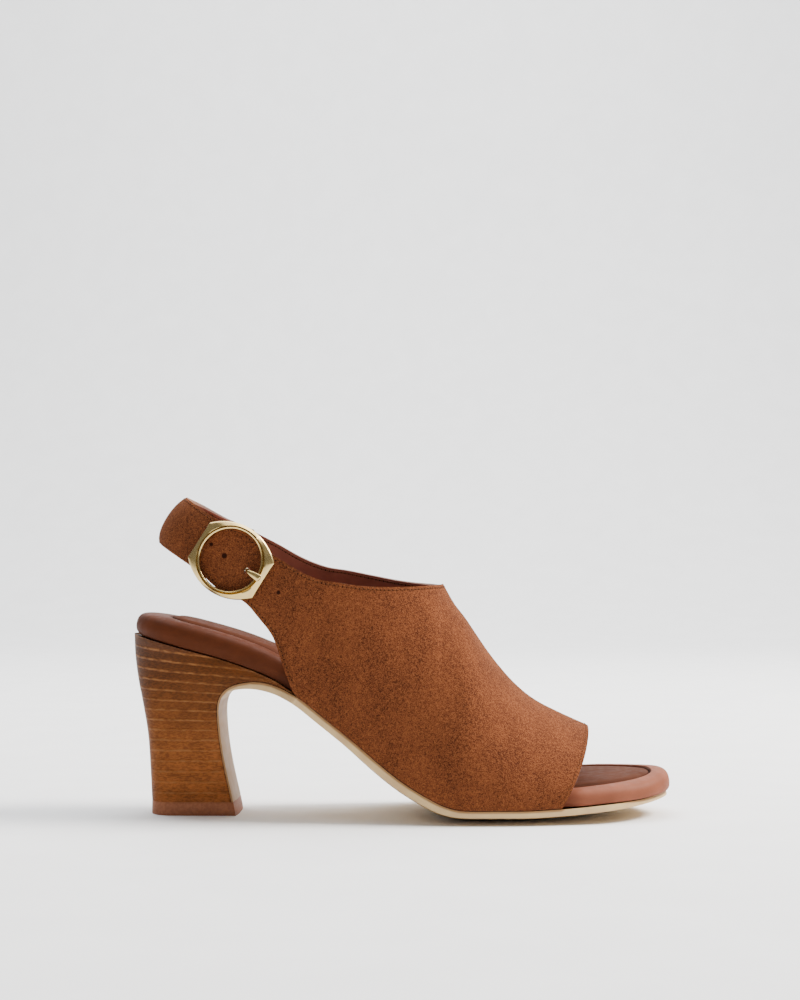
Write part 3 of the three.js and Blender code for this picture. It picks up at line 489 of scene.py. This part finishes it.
def linked(name, data):
    """Puts a mesh, light or camera into the scene as one object."""
    piece = bpy.data.objects.new(name, data)
    bpy.context.scene.collection.objects.link(piece)
    return piece


def search_tree(mesh):
    """Search tree over a mesh's faces."""
    return BVHTree.FromPolygons([v.co for v in mesh.vertices], [p.vertices for p in mesh.polygons])


def stand_for(piece, slot, *nodes):
    """Sets the piece on the shoe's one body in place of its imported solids."""
    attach(piece, "root")
    if nodes:
        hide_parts(*nodes)
    return piece


def tree_of(node_name):
    """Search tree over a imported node's faces."""
    return search_tree(frame["nodes"][node_name].data)


def distances_to(piece, *nodes):
    """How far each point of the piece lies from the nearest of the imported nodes."""
    others = [tree_of(name) for name in nodes]
    return [min(other.find_nearest(v.co)[3] for other in others) for v in piece.data.vertices]


def store(mesh, name, values):
    """Keeps one value a point under a name that a material reads."""
    mesh.attributes.new(name, "FLOAT", "POINT").data.foreach_set("value", values)


def mark_crease_shade(piece, node_name):
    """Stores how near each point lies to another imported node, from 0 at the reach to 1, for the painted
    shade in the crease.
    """
    shares = [max(0.0, 1 - distance / CREASE_SHADE_REACH) for distance in distances_to(piece, node_name)]
    store(piece.data, "crease", shares)


def sort_skins(shape):
    """Material numbers for the upper's outside, its lining and its cut edges."""
    left = set(shape.faces)
    skins = []
    while left:
        found = [left.pop()]
        for face in found:
            for edge in face.edges:
                if edge.calc_face_angle(0) > math.radians(SKIN_ANGLE):
                    continue
                for other in edge.link_faces:
                    if other in left:
                        left.remove(other)
                        found.append(other)
        skins.append(found)
    skins.sort(key=lambda faces: -sum(face.calc_area() for face in faces))
    spread = [max(v.co.y for face in faces for v in face.verts) for faces in skins[:2]]
    outer = 0 if spread[0] > spread[1] else 1
    for number, faces in enumerate(skins):
        kind = CUT if number > 1 else OUTER if number == outer else LINING
        for face in faces:
            face.material_index = kind


def soften(piece, creases):
    """Presses each crease into the outer suede as a soft trough with a low ridge beside it."""
    mesh = piece.data
    outer = {i for face in mesh.polygons if face.material_index == OUTER for i in face.vertices}
    inner = {i for face in mesh.polygons if face.material_index != OUTER for i in face.vertices}
    pressed = {}
    for i in outer - inner:
        spot = mesh.vertices[i].co
        sink = 0.0
        for side, start, end, width, depth in creases:
            if spot.y * side < 0:
                continue
            first, last = Vector(start) * MM, Vector(end) * MM
            here = Vector((spot.x, spot.z))
            run = last - first
            share = max(0.0, min(1.0, (here - first).dot(run) / run.length_squared))
            away = here - first - run * share
            across = away.length / (width * MM)
            beside = 1 if run.x * away.y - run.y * away.x > 0 else 0
            ends = math.sin(math.pi * min(1.0, 0.15 + 0.7 * share))
            trough = math.exp(-across * across)
            ridge = 0.4 * beside * math.exp(-((across - 1.8) ** 2))
            sink += depth * MM * ends * (trough - ridge)
        pressed[i] = mesh.vertices[i].normal * sink
    for i, push in pressed.items():
        mesh.vertices[i].co -= push
    mesh.update()


def punched_holes(name, surface, holes, radius):
    """Punched holes as dark shallow cups, painted shade inside each hole, each in a wider ring of darker
    suede.
    """
    shape = bmesh.new()
    for spot, share in holes:
        point, out = surface.find_nearest(Vector(spot) * MM)[:2]
        stand = out.to_track_quat("Z", "Y").to_matrix().to_4x4()
        # Kind 0 is the wider ring of darker suede, kind 1 the dark cup of painted shade inside the hole
        for kind, wide, tall in ((0, 1.45, 0.07), (1, 1.0, 0.12)):
            size = Matrix.Diagonal((wide * share * radius, wide * share * radius, tall * MM, 1))
            put = Matrix.Translation(point) @ stand @ size
            made = bmesh.ops.create_uvsphere(shape, u_segments=20, v_segments=8, radius=1, matrix=put)
            for face in {face for vertex in made["verts"] for face in vertex.link_faces}:
                face.material_index = kind
                face.smooth = True
    mesh = bpy.data.meshes.new(name)
    shape.to_mesh(mesh)
    shape.free()
    return linked(name, mesh)


def edge_rows(mesh, skin, shortest=30 * MM):
    """Loops of the line where a skin meets its cut edge, each point with its way in and out."""
    shape = bmesh.new()
    shape.from_mesh(mesh)
    links = {}
    ways = {}
    for edge in shape.edges:
        kinds = {face.material_index: face for face in edge.link_faces}
        if set(kinds) != {skin, CUT}:
            continue
        face = kinds[skin]
        middle = (edge.verts[0].co + edge.verts[1].co) / 2
        run = (edge.verts[1].co - edge.verts[0].co).normalized()
        way = face.normal.cross(run)
        if way.dot(face.calc_center_median() - middle) < 0:
            way.negate()
        for a, b in (edge.verts, reversed(edge.verts)):
            links.setdefault(a.index, []).append(b.index)
            ways.setdefault(a.index, Vector()).__iadd__(way)
    shape.verts.ensure_lookup_table()
    rows = []
    seen = set()
    for start in sorted(links):
        if start in seen:
            continue
        row = [start]
        seen.add(start)
        while True:
            ahead = [i for i in links[row[-1]] if i not in seen]
            if not ahead:
                break
            row.append(ahead[0])
            seen.add(ahead[0])
        points = [(shape.verts[i].co.copy(), ways[i].normalized()) for i in row]
        reach = sum((points[i][0] - points[i - 1][0]).length for i in range(len(points)))
        if reach > shortest:
            rows.append(points)
    shape.free()
    return rows


def cut_at_sole(rows, sole):
    """Leaves out the stretches that stand on the outsole, and opens the loops there."""
    runs = []
    for row in rows:
        keep = [sole.find_nearest(point)[3] > SOLE_MARGIN for point, _ in row]
        if all(keep):
            runs.append((row, True))
            continue
        first = keep.index(False)
        row, keep = row[first:] + row[:first], keep[first:] + keep[:first]
        run = []
        for spot, kept in zip(row + row[:1], keep + [False]):
            if kept:
                run.append(spot)
            elif run:
                if len(run) > 6:
                    runs.append((run, False))
                run = []
    return runs


def stitch_line(name, mesh, runs, margin, shift):
    """Edge-only mesh of the stitch rows on the surface, with the way out stored at each point."""
    surface = search_tree(mesh)
    points, outs, edges = [], [], []
    for run, closed in runs:
        line = [surface.find_nearest(point + way * margin)[:2] for point, way in run]
        line = evened(line, STITCH_PATH_STEP, closed, shift)
        first = len(points)
        points += [spot for spot, _ in line]
        outs += [out for _, out in line]
        edges += [(first + i, first + i + 1) for i in range(len(line) - 1)]
        if closed:
            edges.append((len(points) - 1, first))
    made = bpy.data.meshes.new(name)
    made.from_pydata(points, edges, [])
    ways = made.attributes.new("out", "FLOAT_VECTOR", "POINT")
    ways.data.foreach_set("vector", [part for out in outs for part in out])
    return linked(name, made)


def evened(line, step, closed, shift):
    """The same line in even steps, from shift metres in."""
    spots = line + line[:1] if closed else line
    distances = [0.0]
    for (a, _), (b, _) in zip(spots, spots[1:]):
        distances.append(distances[-1] + (b - a).length)
    total = distances[-1]
    count = max(2, round((total - (0 if closed else shift)) / step))
    made = []
    i = 0
    for k in range(count + (0 if closed else 1)):
        at = shift + k * (total - (0 if closed else shift)) / count
        at = at % total if closed else min(at, total)
        if at < distances[i]:
            i = 0
        while i < len(distances) - 2 and distances[i + 1] < at:
            i += 1
        share = (at - distances[i]) / max(distances[i + 1] - distances[i], 1e-9)
        made.append((spots[i][0].lerp(spots[i + 1][0], share), spots[i][1].lerp(spots[i + 1][1], share)))
    return made


def stitch_tree():
    """Geometry nodes that set small rounded stitches along a row."""
    tree = bpy.data.node_groups.new("Stitch row", "GeometryNodeTree")
    sockets = tree.interface
    sockets.new_socket("Geometry", in_out="INPUT", socket_type="NodeSocketGeometry")
    for name, default in (("Pitch", 1.75), ("Length", 1.3), ("Width", 0.5), ("Height", 0.4)):
        socket = sockets.new_socket(name, in_out="INPUT", socket_type="NodeSocketFloat")
        socket.subtype = "DISTANCE"
        socket.default_value = default * MM
    sockets.new_socket("Seed", in_out="INPUT", socket_type="NodeSocketInt")
    sockets.new_socket("Material", in_out="INPUT", socket_type="NodeSocketMaterial")
    sockets.new_socket("Geometry", in_out="OUTPUT", socket_type="NodeSocketGeometry")
    given = node(tree, "NodeGroupInput").outputs
    row = node(tree, "GeometryNodeMeshToCurve", {"Mesh": given["Geometry"]})
    pace = {"Curve": row.outputs[0], "Length": given["Pitch"]}
    spots = node(tree, "GeometryNodeResampleCurve", pace, mode="LENGTH")
    out = node(tree, "GeometryNodeInputNamedAttribute", {"Name": "out"}, data_type="FLOAT_VECTOR")
    run = node(tree, "GeometryNodeInputTangent")
    axes = {0: out.outputs[0], 1: run.outputs[0]}
    turn = node(tree, "FunctionNodeAxesToRotation", axes, primary_axis="Z", secondary_axis="X")
    ball = node(tree, "GeometryNodeMeshUVSphere", {"Segments": 8, "Rings": 5, "Radius": 0.5})
    soft = node(tree, "GeometryNodeSetShadeSmooth", {0: ball.outputs[0]})
    sides = {0: given["Length"], 1: given["Width"], 2: given["Height"]}
    size = node(tree, "ShaderNodeCombineXYZ", sides)
    spread = {2: 0.88, 3: 1.08, "Seed": given["Seed"]}
    vary = node(tree, "FunctionNodeRandomValue", spread, data_type="FLOAT")
    sized = {0: size.outputs[0], "Scale": vary.outputs[1]}
    scale = node(tree, "ShaderNodeVectorMath", sized, operation="SCALE")
    links = {
        "Points": spots.outputs[0],
        "Instance": soft.outputs[0],
        "Rotation": turn.outputs[0],
        "Scale": scale.outputs[0],
    }
    put = node(tree, "GeometryNodeInstanceOnPoints", links)
    real = node(tree, "GeometryNodeRealizeInstances", {0: put.outputs[0]})
    painted = node(tree, "GeometryNodeSetMaterial", {0: real.outputs[0], "Material": given["Material"]})
    node(tree, "NodeGroupOutput", {0: painted.outputs[0]})
    return tree


def run_tree(piece, tree, values):
    """Runs a node tree on a piece with its inputs set by name, and keeps the plain result."""
    modifier = piece.modifiers.new(tree.name, "NODES")
    modifier.node_group = tree
    for item in tree.interface.items_tree:
        if item.in_out == "INPUT" and item.name in values:
            modifier[item.identifier] = values[item.name]
    piece.data = plain_mesh(piece)
    piece.modifiers.clear()
    return piece


# Soft creases of the upper, in millimetres: side, start and end seen from that side, width, depth
CREASES = (
    (-1, (-44, 88), (-30, 66), 5.0, 0.3),
    (-1, (-36, 60), (-22, 45), 6.0, 0.25),
    (-1, (14, 62), (34, 30), 7.0, 0.3),
    (-1, (38, 40), (52, 18), 5.0, 0.25),
    (-1, (-92, 112), (-80, 104), 4.0, 0.2),
    (1, (-40, 86), (-28, 62), 5.0, 0.3),
    (1, (16, 60), (36, 28), 7.0, 0.3),
)

# Strap holes: a spot in millimetres and the share of the full radius that shows
HOLES = (
    ((-71.3, -27.0, 107.2), 1.0),
    ((-76.8, -25.5, 111.9), 0.7),
    ((-48.8, -30.5, 92.3), 0.75),
)

# Buckle pieces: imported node, name in the scene, angle in degrees from which an edge stays crisp
BUCKLE_PIECES = (("buckle_frame", "buckle_ring", 28), ("buckle_prong", "buckle_pin", 60))


# Operators


class SANDAL_OT_upper(bpy.types.Operator):
    """Suede upper with its smooth lining and inked edges"""

    bl_idname = "sandal.upper"
    bl_label = "Upper"

    def execute(self, context):
        colours, _ = settings()
        shape = merged("upper")
        sort_skins(shape)
        hold_edges(shape, SKIN_ANGLE, 0.8)
        lining = leather_material("lining leather, smooth", colours.lining, colours.lining, 0.5)
        piece = finished("suede_upper", shape, [suede_material(), lining, edge_material()])
        soften(piece, CREASES)
        stand_for(piece, "suede", "upper")
        return {"FINISHED"}


class SANDAL_OT_stitching(bpy.types.Operator):
    """Stitch rows along the upper's edges, inside and out, and the punched strap holes"""

    bl_idname = "sandal.stitching"
    bl_label = "Stitching"

    def execute(self, context):
        colours, sizes = settings()
        mesh = bpy.data.objects["suede_upper"].data
        sole = tree_of("outsole")
        runs = [run for skin in (OUTER, LINING) for run in cut_at_sole(edge_rows(mesh, skin), sole)]
        if not runs:
            raise RuntimeError("the upper has no edge to stitch")
        tree = stitch_tree()
        pitch = sizes.stitch_pitch
        thread = plain_material("waxed thread", colours.thread, 0.6)
        # Needle holes and punched holes are dark cups of painted shade
        dark = plain_material("needle hole, painted shade", colours.hole_shade, 0.9)
        row = stitch_line("stitches", mesh, runs, sizes.stitch_margin, 0.5 * pitch)
        stitch = {
            "Pitch": pitch,
            "Length": 0.78 * pitch,
            "Width": sizes.thread_width,
            "Height": 0.45 * MM,
            "Seed": 3,
            "Material": thread,
        }
        run_tree(row, tree, stitch)
        stand_for(row, "suede")
        holes = stitch_line("needle_holes", mesh, runs, sizes.stitch_margin, pitch)
        hole_shade = {
            "Pitch": pitch,
            "Length": 0.6 * MM,
            "Width": 0.7 * MM,
            "Height": 0.2 * MM,
            "Seed": 5,
            "Material": dark,
        }
        run_tree(holes, tree, hole_shade)
        stand_for(holes, "suede")
        punched = punched_holes("strap_holes", search_tree(mesh), HOLES, sizes.hole_radius)
        # Each punched hole sits in a ring of the darker suede colour, with painted shade in its middle
        punched.data.materials.append(plain_material("suede, darker ring round hole", colours.suede_shade, 0.9))
        punched.data.materials.append(dark)
        stand_for(punched, "suede")
        return {"FINISHED"}


class SANDAL_OT_footbed(bpy.types.Operator):
    """Leather-wrapped footbed and its padded sock"""

    bl_idname = "sandal.footbed"
    bl_label = "Footbed"

    def execute(self, context):
        colours, _ = settings()
        # The rim runs from painted shade at the seat to painted light at the toe
        rim_skin = leather_material("rim leather, satin", colours.rim_seat_shaded, colours.rim_toe_lit, 0.58, 0.09)
        sock_skin = leather_material("sock leather, satin", colours.sock_seat, colours.sock_toe, 0.66, 0.03)
        shape = merged("footbed")
        hold_edges(shape, 60, 0.7)
        rim = finished("footbed_rim", shape, [rim_skin])
        mark_crease_shade(rim, "sock_pad")
        stand_for(rim, "rim_leather", "footbed")
        shape = merged("sock_pad")
        hold_edges(shape, 60, 0.5)
        sock = finished("sock_cushion", shape, [sock_skin])
        mark_crease_shade(sock, "footbed")
        stand_for(sock, "sock_leather", "sock_pad")
        return {"FINISHED"}


class SANDAL_OT_sole(bpy.types.Operator):
    """Cream outsole that runs down the heel's breast"""

    bl_idname = "sandal.sole"
    bl_label = "Outsole"

    def execute(self, context):
        piece = finished("outsole_leather", crisp("outsole"), [outsole_material()])
        store(piece.data, "below_seam", distances_to(piece, "footbed", "upper", "heel"))
        stand_for(piece, "sole_leather", "outsole")
        return {"FINISHED"}


class SANDAL_OT_heel(bpy.types.Operator):
    """Stacked heel and its rubber top piece"""

    bl_idname = "sandal.heel"
    bl_label = "Heel"

    def execute(self, context):
        heel = finished("stacked_heel", crisp("heel"), [stack_material()])
        stand_for(heel, "heel_stack", "heel")
        tip = finished("heel_top_piece", crisp("top_piece"), [rubber_material()])
        stand_for(tip, "heel_rubber", "top_piece")
        return {"FINISHED"}


class SANDAL_OT_buckle(bpy.types.Operator):
    """Pale gold buckle frame and prong"""

    bl_idname = "sandal.buckle"
    bl_label = "Buckle"

    def execute(self, context):
        brass = brass_material()
        for node_name, name, angle in BUCKLE_PIECES:
            shape = merged(node_name)
            hold_edges(shape, angle, 0.6)
            piece = finished(name, shape, [brass], shading=60)
            stand_for(piece, "brass", node_name)
        return {"FINISHED"}


class SANDAL_OT_stage(bpy.types.Operator):
    """Pale floor and sweep, soft studio lights and the camera"""

    bl_idname = "sandal.stage"
    bl_label = "Stage"

    def execute(self, context):
        sweep()
        world()
        for light in LIGHTS:
            lamp(*light)
        camera()
        return {"FINISHED"}


# Stage

SWEEP_WIDTH = 8.0
SWEEP_FRONT = -4.0
SWEEP_BACK = 1.6
SWEEP_RADIUS = 0.9
SWEEP_HEIGHT = 5.0
SWEEP_STEPS = 16

# Soft boxes: name, spot, target, width, power in watts, tint
LIGHTS = (
    ("key_light", (1.25, 0.12, 1.3), (0.02, 0, 0.06), 0.7, 80, "#fffaf4"),
    ("top_light", (-0.1, 0.5, 1.9), (0, 0.3, 0), 2.2, 40, "#ffffff"),
    ("wall_light", (0, 0.9, 2.2), (0, 2.5, 0.5), 2.2, 84, "#ffffff"),
)


def sweep():
    """Seamless paper: a floor that curves up into a wall far behind the shoe."""
    profile = [(SWEEP_FRONT, 0.0)]
    for i in range(SWEEP_STEPS + 1):
        angle = math.pi / 2 * i / SWEEP_STEPS
        profile.append((SWEEP_BACK + SWEEP_RADIUS * math.sin(angle), SWEEP_RADIUS * (1 - math.cos(angle))))
    profile.append((SWEEP_BACK + SWEEP_RADIUS, SWEEP_HEIGHT))
    half = SWEEP_WIDTH / 2
    points = [(side * half, y, z) for y, z in profile for side in (-1, 1)]
    faces = [(2 * i, 2 * i + 1, 2 * i + 3, 2 * i + 2) for i in range(len(profile) - 1)]
    mesh = bpy.data.meshes.new("paper_sweep")
    mesh.from_pydata(points, [], faces)
    mesh.shade_smooth()
    paper, tree = blank_material("matt background paper")
    pulp = grain(tree, place(tree), 40, 3.0)
    links = {
        "Base Color": blend(tree, ramp(tree, pulp, 0.3, 0.7), linear("#eff0f1"), linear("#f2f3f4")),
        "Roughness": 0.95,
        "Specular IOR Level": 0.1,
    }
    close_material(tree, node(tree, "ShaderNodeBsdfPrincipled", links))
    mesh.materials.append(paper)
    linked("paper_sweep", mesh)


def world():
    """Even white room light."""
    room = bpy.data.worlds.new("studio room")
    bpy.context.scene.world = room
    room.use_nodes = True
    tree = room.node_tree
    tree.nodes.clear()
    glow = node(tree, "ShaderNodeBackground", {"Color": linear("#f4f5f7"), "Strength": 0.35})
    node(tree, "ShaderNodeOutputWorld", {"Surface": glow.outputs[0]})


def lamp(name, spot, target, size, power, tint):
    """Square soft box that faces a point."""
    light = bpy.data.lights.new(name, "AREA")
    light.shape = "SQUARE"
    light.size = size
    light.energy = power
    light.color = linear(tint)[:3]
    made = linked(name, light)
    made.location = spot
    made.rotation_euler = (Vector(target) - Vector(spot)).to_track_quat("-Z", "Y").to_euler()


# Camera: spot in metres, tilt up and turn to the left in degrees, lens in millimetres
CAMERA_SPOT = (0.0166, -0.7186, 0.0994)
CAMERA_UP = 2.526
CAMERA_LEFT = 1.348
CAMERA_LENS = 61.2


def camera():
    """Product camera, a little above the shoe's middle and almost square to its outer side."""
    view = bpy.data.cameras.new("product_camera")
    view.sensor_width = 36
    view.lens = CAMERA_LENS
    view.clip_start = 0.01
    made = linked("product_camera", view)
    made.location = CAMERA_SPOT
    made.rotation_euler = (math.radians(90 + CAMERA_UP), 0, math.radians(CAMERA_LEFT))
    bpy.context.scene.camera = made


class SANDAL_PT_panel(bpy.types.Panel):
    """Steps and settings of the sandal"""

    bl_idname = "SANDAL_PT_panel"
    bl_label = "Suede sandal"
    bl_space_type = "VIEW_3D"
    bl_region_type = "UI"
    bl_category = "Sandal"

    def draw(self, context):
        for step in STEPS:
            self.layout.operator(step.bl_idname, text=step.bl_label)
        for group in (context.scene.sandal_colours, context.scene.sandal_sizes):
            box = self.layout.box()
            for name in group.__annotations__:
                box.prop(group, name)


STEPS = (
    SANDAL_OT_upper,
    SANDAL_OT_stitching,
    SANDAL_OT_footbed,
    SANDAL_OT_sole,
    SANDAL_OT_heel,
    SANDAL_OT_buckle,
    SANDAL_OT_stage,
)
CLASSES = (SandalColours, SandalSizes, *STEPS, SANDAL_PT_panel)


def register():
    for kind in CLASSES:
        bpy.utils.register_class(kind)
    bpy.types.Scene.sandal_colours = bpy.props.PointerProperty(type=SandalColours)
    bpy.types.Scene.sandal_sizes = bpy.props.PointerProperty(type=SandalSizes)


def unregister():
    del bpy.types.Scene.sandal_sizes
    del bpy.types.Scene.sandal_colours
    for kind in reversed(CLASSES):
        bpy.utils.unregister_class(kind)


def main():
    register()
    bpy.ops.sandal.upper()
    bpy.ops.sandal.stitching()
    bpy.ops.sandal.footbed()
    bpy.ops.sandal.sole()
    bpy.ops.sandal.heel()
    bpy.ops.sandal.buckle()
    bpy.ops.sandal.stage()


if __name__ == "__main__":
    main()
